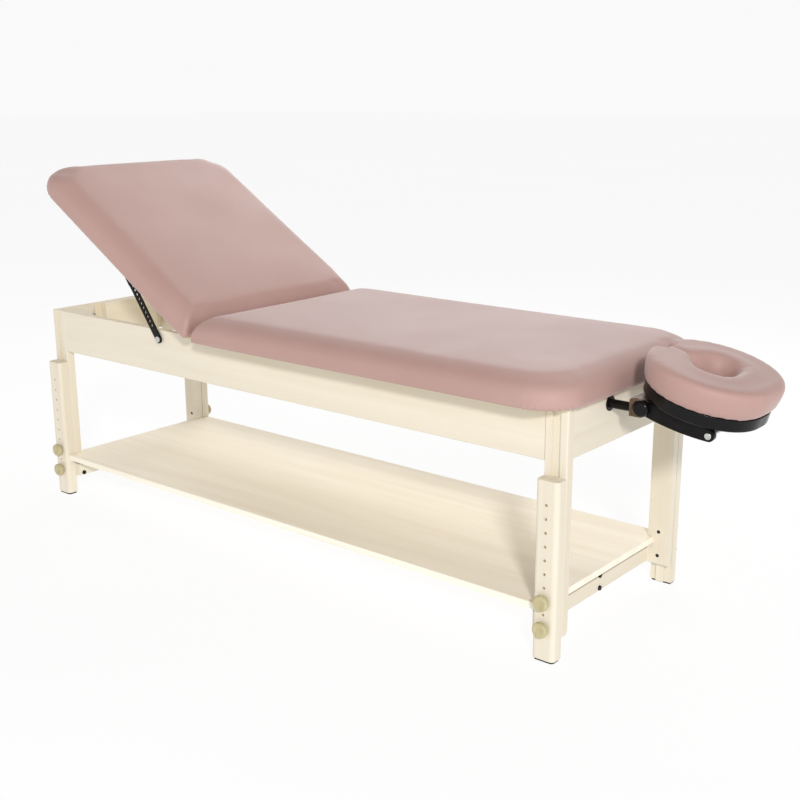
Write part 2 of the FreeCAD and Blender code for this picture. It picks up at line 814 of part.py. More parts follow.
bracket_screws = make_bracket_screws()
bracket_screws = bracket_screws + [flip_y(s) for s in bracket_screws]
for screw in bracket_screws:
    back_board = back_board.cut(screw)
nodes["stay_brackets"] = [back_place(make_bracket()), back_place(flip_y(make_bracket()))]
nodes["stay_pins"] = [back_place(make_pin()), back_place(flip_y(make_pin()))]
nodes["stay_bracket_screws"] = [back_place(s) for s in bracket_screws]
nodes["seat_board"] = seat_place(seat_board)
nodes["back_board"] = back_place(back_board)
nodes["back_battens"] = [back_place(batten), back_place(flip_y(batten))]


# Face cradle. Two rods slide in bushes in the head apron.
def make_bush(y):
    body = along_x(bush_radius, y, rod_z, half_length - apron_thickness, half_length + 1.0)
    body = body.fuse(along_x(bush_flange_radius, y, rod_z, half_length, half_length + bush_flange))
    return tidy(body).cut(along_x(rod_radius + run_gap, y, rod_z, 0, half_length + 20))


def make_rod(y):
    body = along_x(rod_radius, y, rod_z, rod_inner_end, crossbar_back + rod_seat)
    ring = edges_where(body, lambda a, b: near(a.x, rod_inner_end) and near(b.x, rod_inner_end))
    return body.makeChamfer(2.0, ring)


def make_crossbar():
    r = crossbar_round
    top = pivot_z + r
    profile = [
        Part.makeLine(V(crossbar_back, 0, top - 6.0), V(crossbar_back, 0, crossbar_low)),
        Part.makeLine(V(crossbar_back, 0, crossbar_low), V(pivot_x - 6.0, 0, crossbar_low)),
        Part.makeLine(V(pivot_x - 6.0, 0, crossbar_low), V(pivot_x + r, 0, pivot_z)),
        Part.Arc(V(pivot_x + r, 0, pivot_z), V(pivot_x + r * 0.70711, 0, pivot_z + r * 0.70711),
                 V(pivot_x, 0, top)).toShape(),
        Part.makeLine(V(pivot_x, 0, top), V(crossbar_back + 6.0, 0, top)),
        Part.makeLine(V(crossbar_back + 6.0, 0, top), V(crossbar_back, 0, top - 6.0)),
    ]
    body = Part.Face(Part.Wire(profile)).extrude(V(0, 2 * crossbar_half, 0))
    body.translate(V(0, -crossbar_half, 0))
    for y in (-rod_y, rod_y):
        body = body.cut(along_x(rod_radius, y, rod_z, crossbar_back - 1, crossbar_back + rod_seat))
    return body.cut(along_y(pivot_radius, pivot_x, pivot_z, -crossbar_half - 1, crossbar_half + 1))


arm_y0 = crossbar_half + arm_gap
arm_y1 = arm_y0 + arm_thickness


def make_pivot_rod():
    body = along_y(pivot_radius, pivot_x, pivot_z, -arm_y1 - lock_height * 0.7, arm_y1 + nut_height)
    cap = along_y(nut_radius, pivot_x, pivot_z, arm_y1 + 0.6, arm_y1 + nut_height)
    ring = edges_where(cap, lambda a, b: near(a.y, arm_y1 + nut_height) and near(b.y, arm_y1 + nut_height))
    cap = cap.makeFillet(3.0, ring)
    return tidy(body.fuse(cap))


def make_arm():
    length = math.hypot(tilt_x - pivot_x, tilt_z - pivot_z)
    a = arm_pivot_width / 2.0
    b = arm_tilt_width / 2.0
    shape = [
        Part.Arc(V(0, 0, a), V(-a, 0, 0), V(0, 0, -a)).toShape(),
        Part.Arc(V(0, 0, -a), V(length * 0.5, 0, a - arm_belly), V(length, 0, -b)).toShape(),
        Part.Arc(V(length, 0, -b), V(length + b, 0, 0), V(length, 0, b)).toShape(),
        Part.makeLine(V(length, 0, b), V(0, 0, a)),
    ]
    body = Part.Face(Part.Wire(shape)).extrude(V(0, arm_thickness, 0))
    body = body.cut(along_y(pivot_radius + run_gap, 0, 0, -1, arm_thickness + 1))
    body = body.cut(along_y(tilt_radius, length, 0, -1, arm_thickness + 1))
    slope = math.degrees(math.atan2(pivot_z - tilt_z, tilt_x - pivot_x))
    body.rotate(V(0, 0, 0), V(0, 1, 0), slope)
    body.translate(V(pivot_x, arm_y0, pivot_z))
    return body


def make_tilt_rod():
    body = along_y(tilt_radius, tilt_x, tilt_z, -arm_y1 - 1.0, arm_y1 + 1.0)
    for s in (-1, 1):
        y0 = min(s * arm_y1, s * (arm_y1 + tilt_head_height))
        cap = along_y(tilt_head, tilt_x, tilt_z, y0, y0 + tilt_head_height)
        rim = s * (arm_y1 + tilt_head_height)
        ring = edges_where(cap, lambda p, q: near(p.y, rim) and near(q.y, rim))
        body = body.fuse(cap.makeFillet(2.4, ring))
    return tidy(body)


def make_lock():
    r = lock_radius
    h = lock_height
    shape = [
        Part.makeLine(V(0, 0, 0), V(r * 0.72, 0, 0)),
        Part.Arc(V(r * 0.72, 0, 0), V(r * 0.97, h * 0.22, 0), V(r, h * 0.45, 0)).toShape(),
        Part.Arc(V(r, h * 0.45, 0), V(r * 0.86, h * 0.78, 0), V(r * 0.56, h * 0.93, 0)).toShape(),
        axis_arc(r * 0.56, h * 0.93, h),
        Part.makeLine(V(0, h, 0), V(0, 0, 0)),
    ]
    body = Part.Face(Part.Wire(shape)).revolve(V(0, 0, 0), V(0, 1, 0), 360)
    body.translate(V(pivot_x, arm_y1 + lock_gap, pivot_z))
    body = body.cut(along_y(pivot_radius + run_gap, pivot_x, pivot_z, arm_y1, arm_y1 + lock_height * 0.7 + 0.4))
    return flip_y(body)


# Face pad: a horseshoe open to the table, with an upright outer wall, a rolled rim and a bowl that falls to
# the hole. Each level is an outline of lines and arcs.
oval_shift = face_wide - face_long
face_ring = face_long - face_section


def at_angle(radius, degrees, y, z):
    a = math.radians(degrees)
    return V(radius * math.cos(a), y + radius * math.sin(a), z)


def arc_about(radius, start, stop, y, z):
    middle = (start + stop) / 2.0
    return Part.Arc(at_angle(radius, start, y, z), at_angle(radius, middle, y, z),
                    at_angle(radius, stop, y, z)).toShape()


def horseshoe(outer_inset, inner_inset, z):
    outer = face_ring + face_section - outer_inset
    inner = face_ring - face_section + inner_inset
    middle = (outer + inner) / 2.0
    w = (outer - inner) / 2.0
    lobe = math.asin((face_section + face_lobe_gap / 2.0 - oval_shift) / face_ring)
    lead = (face_section - outer_inset - w) / middle
    end = 180.0 - math.degrees(lobe - lead)
    e = oval_shift
    tip = at_angle(middle, end, e, z)
    forward = V(-math.sin(math.radians(end)), math.cos(math.radians(end)), 0)
    out = V(math.cos(math.radians(end)), math.sin(math.radians(end)), 0)
    k = w * math.sqrt(0.5)
    front = V(1, -1, 1)

    def other(p):
        return V(p.x * front.x, p.y * front.y, p.z)

    nose = tip + forward * w
    high = tip + (forward + out) * k
    low = tip + (forward - out) * k
    p_out = at_angle(outer, end, e, z)
    p_in = at_angle(inner, end, e, z)
    edges = [
        arc_about(outer, -end, 0.0, -e, z),
        Part.makeLine(V(outer, -e, z), V(outer, e, z)),
        arc_about(outer, 0.0, end, e, z),
        Part.Arc(p_out, high, nose).toShape(),
        Part.Arc(nose, low, p_in).toShape(),
        arc_about(inner, end, 0.0, e, z),
        Part.makeLine(V(inner, e, z), V(inner, -e, z)),
        arc_about(inner, 0.0, -end, -e, z),
        Part.Arc(other(p_in), other(low), other(nose)).toShape(),
        Part.Arc(other(nose), other(high), other(p_out)).toShape(),
    ]
    return Part.Wire(edges)


def face_outer(h):
    roll_start = face_height - face_roll
    if h <= roll_start:
        return face_foot_inset * (1 - h / roll_start) ** 1.5
    return face_roll - math.sqrt(face_roll ** 2 - (h - roll_start) ** 2)


def face_inner(h):
    if h <= face_bowl_start:
        return face_foot_inset * 0.5 * (1 - h / face_bowl_start) ** 2
    share = (h - face_bowl_start) / (face_height - face_bowl_start)
    return face_bowl * (1 - math.sqrt(1 - share ** 2))


def make_face_pad():
    wires = []
    for share in (0.0, 0.06, 0.16, 0.30, 0.45, 0.58, 0.68, 0.765, 0.84, 0.90, 0.94, 0.97, 0.99, 1.0):
        h = share * face_height
        wires.append(horseshoe(face_outer(h), face_inner(h), h))
    return Part.makeLoft(wires, True, True)


def cradle_place(shape):
    out = shape.copy()
    out.rotate(V(0, 0, 0), V(0, 1, 0), face_tilt)
    out.translate(V(face_x, 0, face_z))
    return out


def racetrack(radius, e, z):
    edges = [
        arc_about(radius, -180.0, -90.0, -e, z),
        arc_about(radius, -90.0, 0.0, -e, z),
        Part.makeLine(V(radius, -e, z), V(radius, e, z)),
        arc_about(radius, 0.0, 90.0, e, z),
        arc_about(radius, 90.0, 180.0, e, z),
        Part.makeLine(V(-radius, e, z), V(-radius, -e, z)),
    ]
    return Part.Wire(edges)


# Platform: an oval ring plate with a rolled lower edge, hung on two ears at the tilt rod.
def make_platform():
    t = platform_thickness
    body = Part.Face(racetrack(platform_long, platform_wide - platform_long, -t)).extrude(V(0, 0, t))
    low = edges_where(body, lambda p, q: near(p.z, -t) and near(q.z, -t))
    body = body.makeFillet(platform_edge, low)
    rim = edges_where(body, lambda p, q: near(p.z, 0) and near(q.z, 0))
    body = body.makeFillet(platform_lip, rim)
    hole = Part.Face(racetrack(platform_hole, oval_shift, -t - 1)).extrude(V(0, 0, t + 2))
    body = cradle_place(body.cut(hole))
    ear_y1 = arm_y0 - ear_gap
    ear_y0 = ear_y1 - ear_thickness
    slope = math.tan(math.radians(face_tilt))
    depth = platform_thickness * 0.5 / math.cos(math.radians(face_tilt))
    points = []
    for x in (tilt_x - ear_back, tilt_x + ear_front):
        points.append((x, face_z - (x - face_x) * slope - depth))
    points.append((tilt_x + ear_radius, tilt_z))
    points.append((tilt_x - ear_radius, tilt_z))
    for s in (-1, 1):
        ear = plate(points, ear_y0, ear_y1).fuse(along_y(ear_radius, tilt_x, tilt_z, ear_y0, ear_y1))
        if s < 0:
            ear = flip_y(ear)
        body = body.fuse(ear)
    body = tidy(body)
    return body.cut(along_y(tilt_radius + run_gap, tilt_x, tilt_z, -arm_y1, arm_y1))


arm = make_arm()
nodes["cradle_bushes"] = [make_bush(-rod_y), make_bush(rod_y)]
nodes["cradle_rods"] = [make_rod(-rod_y), make_rod(rod_y)]
nodes["cradle_crossbar"] = make_crossbar()
nodes["cradle_pivot_rod"] = make_pivot_rod()
nodes["cradle_arm_rear"] = arm
nodes["cradle_arm_front"] = flip_y(arm)
nodes["cradle_tilt_rod"] = make_tilt_rod()
nodes["cradle_lock_knob"] = make_lock()
nodes["cradle_platform"] = make_platform()
nodes["face_pad"] = cradle_place(make_face_pad())

# The row's origin lies under the middle of the whole table.
reach = nodes["face_pad"].optimalBoundingBox(False, False).XMax
shift = V(-(reach - half_length) / 2.0, 0, 0)

os.makedirs("parts", exist_ok=True)
for name, shape in nodes.items():
    pieces = shape if isinstance(shape, list) else [shape]
    solids = []
    for piece in pieces:
        solids.extend(piece.Solids)
    if len(solids) == 1:
        out = solids[0].copy()
    else:
        out = Part.makeCompound(solids)
    out.translate(shift)
    out.exportStep("parts/" + name + ".step")
print("origin shift", round(shift.x, 4))
print("stay pin", round(pin_x + shift.x, 3), round(pin_z, 3), "stay angle", round(stay_angle, 3))
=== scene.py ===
import bpy
import bmesh
import json
import math
import numpy
from mathutils import Matrix, Vector


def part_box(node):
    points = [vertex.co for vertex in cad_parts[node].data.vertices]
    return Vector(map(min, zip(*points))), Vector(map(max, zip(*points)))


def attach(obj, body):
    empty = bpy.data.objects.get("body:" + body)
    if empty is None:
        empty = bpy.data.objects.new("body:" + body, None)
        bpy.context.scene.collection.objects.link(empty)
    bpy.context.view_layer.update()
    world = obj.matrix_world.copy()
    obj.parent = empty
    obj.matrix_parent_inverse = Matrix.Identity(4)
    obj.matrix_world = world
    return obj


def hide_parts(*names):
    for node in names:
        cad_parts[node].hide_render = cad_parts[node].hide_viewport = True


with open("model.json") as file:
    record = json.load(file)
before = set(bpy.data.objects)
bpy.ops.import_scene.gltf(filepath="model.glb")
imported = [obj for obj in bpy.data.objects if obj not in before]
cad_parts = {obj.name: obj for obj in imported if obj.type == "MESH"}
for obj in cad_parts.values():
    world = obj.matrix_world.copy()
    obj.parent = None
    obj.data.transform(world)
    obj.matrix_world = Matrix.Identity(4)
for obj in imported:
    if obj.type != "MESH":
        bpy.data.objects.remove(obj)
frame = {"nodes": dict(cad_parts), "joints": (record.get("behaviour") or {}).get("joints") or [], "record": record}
nodes = frame["nodes"]
joints = {joint["name"]: joint for joint in frame["joints"]}
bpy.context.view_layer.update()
scene = bpy.context.scene

# Lengths are in metres and angles in radians, in the row frame: +X to the face cradle, -Y to the front, +Z up
# from the floor. The photograph's size and focal length are in pixels, the sensor in millimetres.
PHOTO_SIZE = 800
PHOTO_FOCAL = 1173.948
CAMERA_PLACE = Vector((1.935641, -2.256990, 1.206663))
CAMERA_YAW = 0.690964
CAMERA_PITCH = 0.262171
CAMERA_ROLL = -0.004443
SENSOR = 36.0
VIEW_END = 200.0

CORNERS = ("head_front", "head_rear", "back_front", "back_rear")
HINGE = Vector(joints["backrest_tilt"]["pos_m"])
BACK_ANGLE = math.radians(31.8)

# The face pad lies on a slope. Its own frame starts on its foot plane, under the middle of its hole.
FACE_TILT = math.radians(14.5)
FACE_REACH = 0.0925
FACE_FOOT_HEIGHT = 0.5795
FACE_FOOT = Vector((joints["cradle_arm_tilt"]["pos_m"][0] + FACE_REACH, 0.0, FACE_FOOT_HEIGHT))
FACE_OVAL = 0.0163
FACE_FULLNESS = 0.002
FACE_FULL_FROM = (0.004, 0.016)
BOWL_RADIUS = 0.1077
BOWL_FILL = 0.021
BOWL_FILL_FROM = (0.004, 0.024)
BOWL_FILL_TO = (0.046, 0.066)
CREASE_START = Vector((0.043, 0.020, 0.050))
CREASE_END = Vector((0.048, 0.066, 0.056))
CREASE_DEPTH = 0.0032
CREASE_WIDTH = 0.0055

# The covers: even quads, drawn in, swollen by air, smoothed, then filled out and gathered.
PAD_VOXEL = 0.006
WELD = 1e-6
COPY_SMOOTHING = 4
COVER_SMOOTHING = 9
SMOOTHING_SHARE = 0.5
PAD_SHRINK = 0.002
PAD_CAP = 0.008
PAD_PRESSURE = 6.0
CLOTH_FRAMES = 14
CLOTH_QUALITY = 4
CLOTH_MASS = 0.3
CLOTH_STRETCH = 12.0
CLOTH_SHEAR = 5.0
CLOTH_BENDING = 0.8
EVEN_ROUNDS = 12
HELD_HEIGHT = 0.006
PAD_FULLNESS = 0.0035
PAD_FULL_FROM = (0.0, 0.012)
PAD_ROLL = 0.003
PAD_ROLL_HEIGHT = 0.065
HINGE_EASE = (0.02, 0.12)
PAD_HALF_WIDTH = 0.327
HEAD_CORNER = 0.102
BACK_CORNER = 0.095
GATHER_DEPTH = 0.0009
GATHERS_PER_TURN = 40.0
GATHER_HEIGHTS = (0.004, 0.022)
GATHER_RIM = (0.55, 0.9)

HOLE_PITCH = 0.0311
HOLE_COUNT = 10
HOLE_FIRST = joints["turn_knob_head_front_low"]["pos_m"][2]
HOLE_RADIUS = 0.00326
HOLE_SIDES = 20
LINER_INSET = 0.0002

# The heights between which a painted shade browns the shelf rails just under the shelf's lap, and how far from the
# middle a knob's stud reaches.
RAIL_PAINTED_SHADE = (0.0925, 0.0965)
STUD_END = 0.287
STUD_FADE = 0.0005

EDGE_WIDTH = 0.0022
EDGE_SAMPLES = 4
EDGE_LIMITS = (0.90, 0.995)
BLACK = (0.0, 0.0, 0.0, 1.0)
WHITE = (1.0, 1.0, 1.0, 1.0)

FLOOR_HALF = 40.0
FLOOR_GLOW = 0.882
WALL_LIGHT = 0.95
CEILING_LIGHT = 0.30


# Camera
def place_camera():
    data = bpy.data.cameras.new("camera")
    data.sensor_width = SENSOR
    data.lens = PHOTO_FOCAL * SENSOR / PHOTO_SIZE
    data.clip_end = VIEW_END
    camera = bpy.data.objects.new("camera", data)
    scene.collection.objects.link(camera)
    level = math.cos(CAMERA_PITCH)
    forward = Vector((-math.sin(CAMERA_YAW) * level, math.cos(CAMERA_YAW) * level, -math.sin(CAMERA_PITCH)))
    right = Vector((math.cos(CAMERA_YAW), math.sin(CAMERA_YAW), 0.0))
    up = right.cross(forward)
    turned_right = math.cos(CAMERA_ROLL) * right + math.sin(CAMERA_ROLL) * up
    turned_up = -math.sin(CAMERA_ROLL) * right + math.cos(CAMERA_ROLL) * up
    turn = Matrix((turned_right, turned_up, -forward)).transposed().to_4x4()
    camera.matrix_world = Matrix.Translation(CAMERA_PLACE) @ turn
    scene.camera = camera


# Materials
def srgb(red, green, blue):
    """A display colour, 0 to 255, as the linear colour that nodes take."""
    out = []
    for value in (red, green, blue):
        share = value / 255.0
        out.append(share / 12.92 if share <= 0.04045 else ((share + 0.055) / 1.055) ** 2.4)
    return (*out, 1.0)


class Paint:
    """A Principled material whose colour, gloss and relief come from procedural nodes."""

    def __init__(self, name, metallic=0.0, coat=0.0, coat_roughness=0.2, specular=0.5):
        self.material = bpy.data.materials.new(name)
        self.material.use_nodes = True
        self.tree = self.material.node_tree
        self.surface = self.tree.nodes["Principled BSDF"]
        self.surface.inputs["Metallic"].default_value = metallic
        self.surface.inputs["Coat Weight"].default_value = coat
        self.surface.inputs["Coat Roughness"].default_value = coat_roughness
        self.surface.inputs["Specular IOR Level"].default_value = specular
        self.coords = self.tree.nodes.new("ShaderNodeTexCoord").outputs["Object"]
        self.normal = None

    def add(self, kind, **inputs):
        node = self.tree.nodes.new("ShaderNode" + kind)
        for key, value in inputs.items():
            socket = node.inputs[key]
            if isinstance(value, bpy.types.NodeSocket):
                self.tree.links.new(value, socket)
            else:
                socket.default_value = value
        return node

    def stretched(self, stretch):
        return self.add("Mapping", Vector=self.coords, Scale=stretch).outputs["Vector"]

    def noise(self, scale, detail=3.0, stretch=None, distortion=0.0):
        place = self.stretched(stretch) if stretch else self.coords
        node = self.add("TexNoise", Vector=place, Scale=scale, Detail=detail, Distortion=distortion)
        return node.outputs["Factor"] if "Factor" in node.outputs else node.outputs["Fac"]

    def cells(self, scale):
        return self.add("TexVoronoi", Vector=self.coords, Scale=scale).outputs["Distance"]

    def blend(self, factor, *stops):
        """A colour that runs through the stops, pairs of place and colour, as the factor rises."""
        node = self.add("ValToRGB", Fac=factor)
        ramp = node.color_ramp
        while len(ramp.elements) < len(stops):
            ramp.elements.new(0.5)
        for element, (place, colour) in zip(ramp.elements, stops):
            element.position = place
            element.color = colour
        return node.outputs["Color"]

    def mix(self, factor, low, high):
        node = self.tree.nodes.new("ShaderNodeMix")
        node.data_type = "RGBA"
        self.tree.links.new(factor, node.inputs[0])
        for socket, value in ((node.inputs[6], low), (node.inputs[7], high)):
            if isinstance(value, bpy.types.NodeSocket):
                self.tree.links.new(value, socket)
            else:
                socket.default_value = value
        return node.outputs[2]

    def spread(self, factor, low, high, start=0.3, end=0.7):
        node = self.add("MapRange", Value=factor)
        for key, value in (("From Min", start), ("From Max", end), ("To Min", low), ("To Max", high)):
            node.inputs[key].default_value = value
        return node.outputs["Result"]

    def edges(self, width):
        """A mask that is 1 on sharp edges and 0 on faces."""
        bevel = self.tree.nodes.new("ShaderNodeBevel")
        bevel.samples = EDGE_SAMPLES
        bevel.inputs["Radius"].default_value = width
        facing = self.tree.nodes.new("ShaderNodeNewGeometry").outputs["Normal"]
        dot = self.tree.nodes.new("ShaderNodeVectorMath")
        dot.operation = "DOT_PRODUCT"
        self.tree.links.new(bevel.outputs["Normal"], dot.inputs[0])
        self.tree.links.new(facing, dot.inputs[1])
        return self.spread(dot.outputs["Value"], 1.0, 0.0, *EDGE_LIMITS)

    def colour(self, socket):
        self.tree.links.new(socket, self.surface.inputs["Base Color"])

    def gloss(self, factor, low, high):
        self.tree.links.new(self.spread(factor, low, high), self.surface.inputs["Roughness"])

    def relief(self, height, depth, strength):
        bump = self.add("Bump", Height=height, Strength=strength, Distance=depth)
        if self.normal:
            self.tree.links.new(self.normal, bump.inputs["Normal"])
        self.normal = bump.outputs["Normal"]
        self.tree.links.new(self.normal, self.surface.inputs["Normal"])


def vinyl():
    paint = Paint("rose_vinyl", coat=0.12, coat_roughness=0.50, specular=0.42)
    paint.surface.inputs["Sheen Weight"].default_value = 0.24
    paint.surface.inputs["Sheen Roughness"].default_value = 0.42
    broad = paint.noise(2.6, 3.0)
    paint.colour(paint.blend(broad, (0.30, srgb(173, 138, 130)), (0.70, srgb(182, 148, 140))))
    paint.gloss(paint.noise(7.0, 4.0), 0.56, 0.66)
    paint.relief(paint.noise(26.0, 2.0), 0.0012, 0.10)
    paint.relief(paint.cells(820.0), 0.00022, 0.22)
    return paint.material


def lacquer(name, stretch, dark, light, painted_shade=None):
    """Cream lacquer over wood: the grain lies along the axis that stretch makes small.

    Painted shade is the band of heights, low and high, in which the colour is darkened to brown as the shade under
    a joint.
    """
    paint = Paint(name, coat=0.12, coat_roughness=0.45, specular=0.42)
    grain = paint.noise(26.0, 5.0, stretch, 0.6)
    base = paint.blend(grain, (0.30, dark), (0.72, light))
    wear = paint.noise(90.0, 4.0)
    chips = paint.blend(wear, (0.45, BLACK), (0.75, srgb(70, 70, 70)))
    worn = paint.mix(paint.edges(EDGE_WIDTH), BLACK, chips)
    finish = paint.mix(worn, base, srgb(216, 200, 168))
    # painted shade: between the given heights the rail's face turns dark brown, standing in for the shade under
    # the shelf's lap
    if painted_shade:
        height = paint.add("SeparateXYZ", Vector=paint.coords).outputs["Z"]
        finish = paint.mix(paint.spread(height, 0.0, 0.72, *painted_shade), finish, srgb(96, 76, 52))
    paint.colour(finish)
    paint.gloss(paint.noise(9.0, 4.0), 0.56, 0.68)
    paint.relief(grain, 0.0004, 0.12)
    paint.relief(paint.noise(420.0, 2.0), 0.0001, 0.10)
    return paint.material


def plywood():
    paint = Paint("pale_plywood", specular=0.35)
    grain = paint.noise(18.0, 6.0, (1.0, 14.0, 1.0), 1.4)
    paint.colour(paint.blend(grain, (0.28, srgb(196, 176, 136)), (0.50, srgb(214, 197, 160)),
                             (0.74, srgb(224, 210, 176))))
    paint.gloss(paint.noise(30.0, 4.0), 0.55, 0.72)
    paint.relief(grain, 0.0006, 0.22)
    return paint.material


def bare_wood():
    paint = Paint("drilled_wood", specular=0.2)
    fibre = paint.noise(240.0, 4.0, (1.0, 1.0, 0.2))
    paint.colour(paint.blend(fibre, (0.3, srgb(214, 192, 156)), (0.7, srgb(230, 210, 176))))
    paint.gloss(fibre, 0.75, 0.92)
    paint.relief(fibre, 0.0003, 0.4)
    return paint.material


def stained_wood():
    paint = Paint("brown_wood", coat=0.2, coat_roughness=0.3)
    grain = paint.noise(30.0, 6.0, (6.0, 1.0, 6.0), 0.8)
    paint.colour(paint.blend(grain, (0.3, srgb(74, 52, 34)), (0.7, srgb(112, 82, 54))))
    paint.gloss(grain, 0.38, 0.55)
    paint.relief(grain, 0.0005, 0.25)
    return paint.material


def knob_plastic():
    paint = Paint("khaki_plastic", specular=0.45)
    mottle = paint.noise(60.0, 4.0)
    khaki = paint.blend(mottle, (0.3, srgb(176, 164, 122)), (0.7, srgb(192, 181, 140)))
    across = paint.add("Math")
    across.operation = "ABSOLUTE"
    paint.tree.links.new(paint.add("SeparateXYZ", Vector=paint.coords).outputs["Y"], across.inputs[0])
    stud = paint.spread(across.outputs["Value"], 1.0, 0.0, STUD_END - STUD_FADE, STUD_END)
    paint.colour(paint.mix(stud, khaki, srgb(16, 15, 14)))
    paint.gloss(mottle, 0.36, 0.50)
    paint.relief(paint.noise(900.0, 2.0), 0.00012, 0.25)
    return paint.material


def rubber():
    paint = Paint("black_rubber", specular=0.3)
    dust = paint.noise(40.0, 5.0)
    paint.colour(paint.blend(dust, (0.35, srgb(22, 22, 22)), (0.75, srgb(44, 42, 40))))
    paint.gloss(dust, 0.68, 0.86)
    paint.relief(paint.noise(600.0, 3.0), 0.0003, 0.4)
    return paint.material


def zinc():
    paint = Paint("bright_zinc", metallic=1.0)
    streak = paint.noise(160.0, 4.0, (1.0, 8.0, 1.0))
    paint.colour(paint.blend(streak, (0.3, srgb(186, 186, 184)), (0.7, srgb(214, 214, 212))))
    paint.gloss(streak, 0.22, 0.38)
    paint.relief(streak, 0.0001, 0.15)
    return paint.material


def black_steel():
    paint = Paint("black_steel", specular=0.16)
    fleck = paint.noise(75.0, 4.0)
    paint.colour(paint.blend(fleck, (0.3, srgb(9, 7, 7)), (0.75, srgb(20, 17, 17))))
    paint.gloss(fleck, 0.30, 0.44)
    paint.relief(paint.noise(1400.0, 2.0), 0.00012, 0.25)
    return paint.material


def black_gloss():
    paint = Paint("black_gloss", specular=0.22)
    haze = paint.noise(22.0, 5.0)
    paint.colour(paint.blend(haze, (0.3, srgb(6, 5, 6)), (0.75, srgb(13, 11, 12))))
    paint.gloss(haze, 0.14, 0.24)
    paint.relief(paint.noise(300.0, 2.0), 0.0001, 0.06)
    return paint.material


def finish_nodes():
    """Gives every CAD node its material. The wood's grain follows each piece's length."""
    cream = (srgb(218, 208, 188), srgb(227, 219, 201))
    # The shelf panel gets a lighter copy of the same cream: painted light that makes it look better lit than the
    # frame.
    cream_painted_light = (srgb(240, 231, 213), srgb(248, 241, 226))
    along_x = lacquer("cream_lacquer_long", (0.05, 1.0, 1.0), *cream)
    along_y = lacquer("cream_lacquer_cross", (1.0, 0.05, 1.0), *cream)
    along_z = lacquer("cream_lacquer_upright", (1.0, 1.0, 0.05), *cream)
    # The shelf rails carry a band of painted shade just under the shelf's lap.
    rail_face = lacquer("cream_lacquer_rail", (1.0, 0.05, 1.0), *cream, painted_shade=RAIL_PAINTED_SHADE)
    shelf_painted_light = lacquer("cream_lacquer_shelf_painted_light", (0.05, 1.0, 1.0), *cream_painted_light)
    by_slot = {
        "cream_wood": along_x,
        "board": plywood(),
        "cover": vinyl(),
        "knob_plastic": knob_plastic(),
        "foot_rubber": rubber(),
        "zinc_steel": zinc(),
        "black_steel": black_steel(),
        "black_plastic": black_gloss(),
        "brown_wood": stained_wood(),
    }
    for part in frame["record"]["subparts"]:
        name = part["node"]
        material = by_slot[part["material_slot"]]
        if part["material_slot"] == "cream_wood":
            if name.startswith(("post_", "leg_")):
                material = along_z
            elif name in ("apron_head", "apron_back", "hinge_cross_rail", "end_block"):
                material = along_y
            elif name.startswith("shelf_rail_"):
                material = rail_face
            elif name == "shelf_panel":
                material = shelf_painted_light
        dress(nodes[name], material)
    return by_slot


def dress(obj, material):
    obj.data.materials.clear()
    obj.data.materials.append(material)


# Soft pads
def seat_local(point):
    """Length from the hinge, width and height above the board of a point on the seat pad."""
    return point.x - HINGE.x, point.y, point.z - HINGE.z


def back_local(point):
    along = point - HINGE
    length = -along.x * math.cos(BACK_ANGLE) + along.z * math.sin(BACK_ANGLE)
    height = along.x * math.sin(BACK_ANGLE) + along.z * math.cos(BACK_ANGLE)
    return length, point.y, height


def face_local(point):
    along = point - FACE_FOOT
    length = along.x * math.cos(FACE_TILT) - along.z * math.sin(FACE_TILT)
    height = along.x * math.sin(FACE_TILT) + along.z * math.cos(FACE_TILT)
    return length, point.y, height


def smoothing(obj, rounds):
    smooth = obj.modifiers.new("smooth", "SMOOTH")
    smooth.factor = SMOOTHING_SHARE
    smooth.iterations = rounds


def closed_copy(node, name):
    """A new closed mesh of a CAD node in even small quads."""
    mesh = nodes[node].data.copy()
    mesh.name = name
    obj = bpy.data.objects.new(name, mesh)
    scene.collection.objects.link(obj)
    work = bmesh.new()
    work.from_mesh(mesh)
    bmesh.ops.remove_doubles(work, verts=work.verts, dist=WELD)
    work.to_mesh(mesh)
    work.free()
    remesh = obj.modifiers.new("remesh", "REMESH")
    remesh.mode = "VOXEL"
    remesh.voxel_size = PAD_VOXEL
    smoothing(obj, COPY_SMOOTHING)
    settle(obj)
    return obj


def settle(obj):
    """Writes what the modifiers give into the object's own mesh."""
    view = bpy.context.evaluated_depsgraph_get()
    mesh = bpy.data.meshes.new_from_object(obj.evaluated_get(view))
    obj.modifiers.clear()
    old = obj.data
    obj.data = mesh
    bpy.data.meshes.remove(old)


def even_moves(mesh, moves):
    """The moves, averaged over neighbouring points, so that the cover swells without small wrinkles."""
    edges = numpy.empty(len(mesh.edges) * 2, dtype=numpy.int32)
    mesh.edges.foreach_get("vertices", edges)
    starts, ends = edges[0::2], edges[1::2]
    count = numpy.bincount(edges, minlength=len(moves)).reshape(-1, 1)
    for _ in range(EVEN_ROUNDS):
        total = numpy.zeros_like(moves)
        numpy.add.at(total, starts, moves[ends])
        numpy.add.at(total, ends, moves[starts])
        moves = (moves + total / count) / 2.0
    return moves


